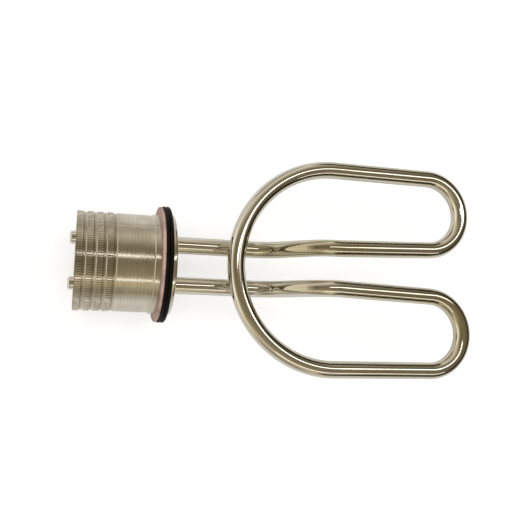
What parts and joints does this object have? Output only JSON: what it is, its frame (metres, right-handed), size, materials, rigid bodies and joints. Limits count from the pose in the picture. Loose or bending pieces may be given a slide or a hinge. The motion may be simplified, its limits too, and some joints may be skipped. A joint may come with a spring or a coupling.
{
  "type": "tubular heating element",
  "caption": "Bent tubular heating element for a steam steriliser: two legs rise to a wide loop, on a screwed head with gasket, fibre washer and a knurled nut around contact pins.",
  "frame": {"origin": "on the axis of the screwed head, in the face of its flange that the rubber gasket seals on", "axes": "+X along the head's axis towards the heating loop, the contact pins point along -X; +Y towards the back tube leg; +Z towards the side that the loop is lifted to"},
  "size_m": [0.1905, 0.1018, 0.054],
  "materials": {
    "nickel_tube": "polished nickel-plated tube with warm drawing streaks",
    "magnesia": "compacted white magnesia powder",
    "resistance_wire": "oxidised nickel-chromium wire",
    "steel_pin": "plain drawn steel",
    "silicone_seal": "matt cream silicone",
    "nickelled_head": "polished nickel plate on turned brass",
    "black_rubber": "matt moulded rubber",
    "pink_fibre": "dusty pink vulcanised fibre",
    "satin_nickel": "satin nickel plate on turned and knurled brass",
    "steatite": "unglazed pressed steatite",
    "spring_steel": "phosphated spring steel",
    "bright_nickel": "mirror-bright nickel plate",
    "bare_brass": "bare turned brass"
  },
  "bodies": {
    "root": {"sheath_tube": "nickel_tube", "magnesia_filling": "magnesia", "resistance_coil": "resistance_wire", "cold_pin_back": "steel_pin", "cold_pin_front": "steel_pin", "end_seal_back": "silicone_seal", "end_seal_front": "silicone_seal", "head": "nickelled_head", "rubber_gasket": "black_rubber", "fibre_washer": "pink_fibre", "shroud_nut": "satin_nickel", "insulating_plate": "steatite", "retaining_ring": "spring_steel", "contact_pin_back": "bright_nickel", "contact_pin_front": "bright_nickel", "lock_washers": "spring_steel", "hex_nuts": "bare_brass"}
  },
  "joints": []
}
